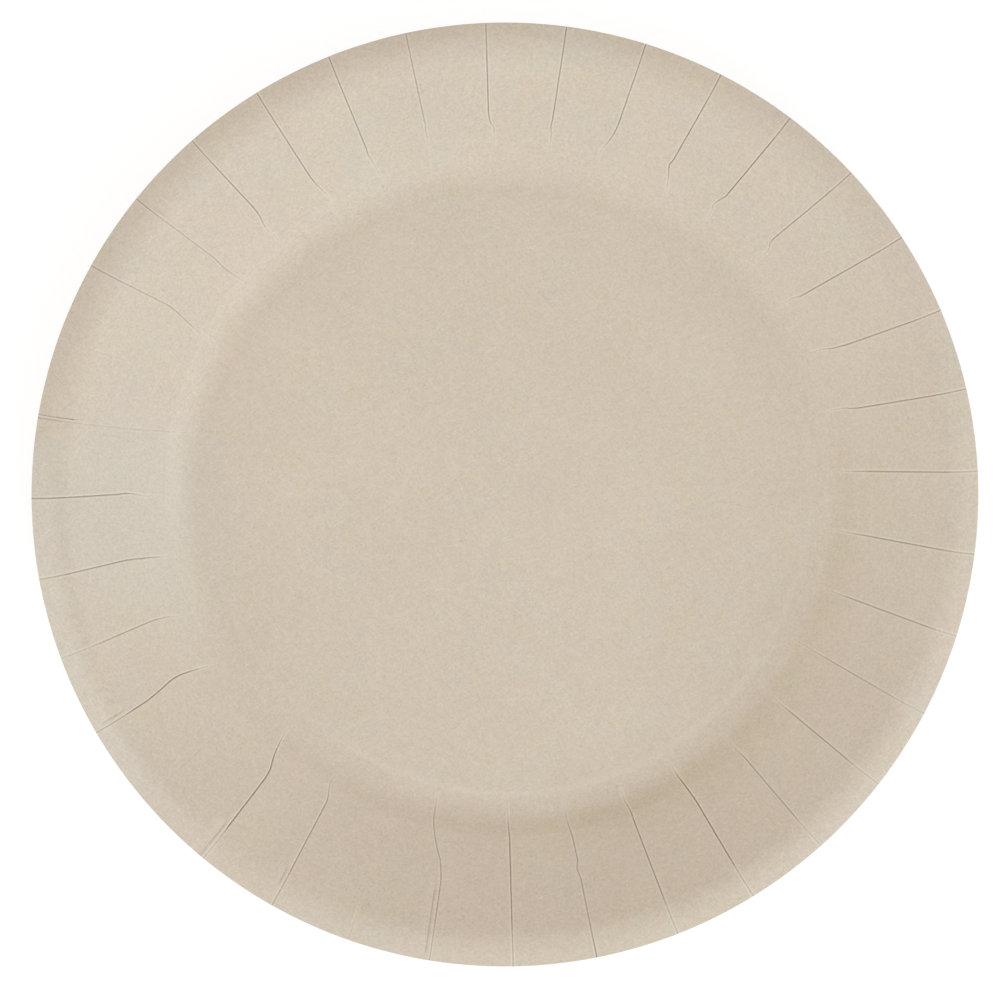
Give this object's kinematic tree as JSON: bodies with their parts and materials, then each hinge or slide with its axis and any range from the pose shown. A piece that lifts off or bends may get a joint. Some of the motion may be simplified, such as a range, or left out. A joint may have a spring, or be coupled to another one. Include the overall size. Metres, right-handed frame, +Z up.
{
  "type": "paper plate",
  "caption": "Round pressed paper plate with a flat base, a low curved wall, a wide sloping flange with radial pleats, and a lip turned down to the cut edge.",
  "frame": {"origin": "centre of the plate's flat underside, where it rests on the table", "axes": "+Z up along the axis of the round plate, +X and +Y across it in the table's plane"},
  "size_m": [0.23, 0.23, 0.016],
  "materials": {
    "board": "matt uncoated kraft board with fine fibres"
  },
  "bodies": {
    "root": {"plate": "board"}
  },
  "joints": []
}
